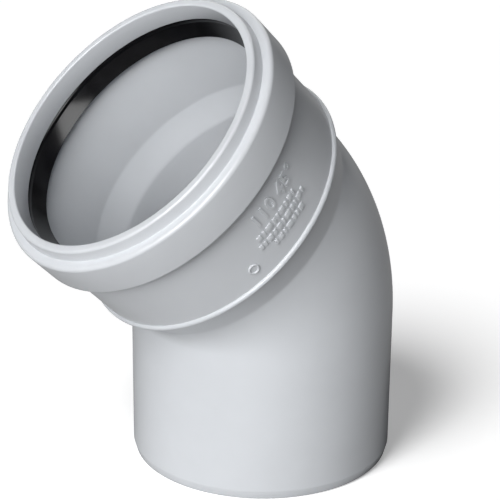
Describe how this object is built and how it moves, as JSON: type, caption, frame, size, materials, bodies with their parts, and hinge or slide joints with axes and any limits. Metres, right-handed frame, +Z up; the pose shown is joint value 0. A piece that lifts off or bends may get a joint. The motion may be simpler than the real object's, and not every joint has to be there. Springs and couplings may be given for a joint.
{
  "type": "pvc elbow fitting",
  "caption": "Grey 45 degree push-fit pipe elbow: plain chamfered spigot, curved body, and a wider socket whose pull-off cap holds a black rubber lip seal round the mouth.",
  "frame": {"origin": "centre of the spigot's end face", "axes": "+Z up the spigot's axis into the bend, +X the way the socket leans, so the whole centre line lies in the XZ plane"},
  "size_m": [0.1633, 0.127, 0.1962],
  "materials": {
    "grey_pvc": "satin moulded",
    "grey_pvc_cap": "satin moulded",
    "seal_rubber": "smooth lubricated"
  },
  "bodies": {
    "fitting": {"bend_body": "grey_pvc"},
    "cap": {"retaining_cap": "grey_pvc_cap"},
    "seal": {"lip_seal": "seal_rubber"}
  },
  "joints": [
    {"name": "cap_pull", "type": "slide", "parent": "fitting", "child": "cap", "axis": [0.7071, 0, 0.7071], "range_m": [0, 0.04]},
    {"name": "seal_pull", "type": "slide", "parent": "fitting", "child": "seal", "axis": [0.7071, 0, 0.7071], "range_m": [0, 0.02]}
  ],
  "couplings": [
    {"joint": "seal_pull", "follows": "cap_pull", "ratio": 0.5}
  ]
}
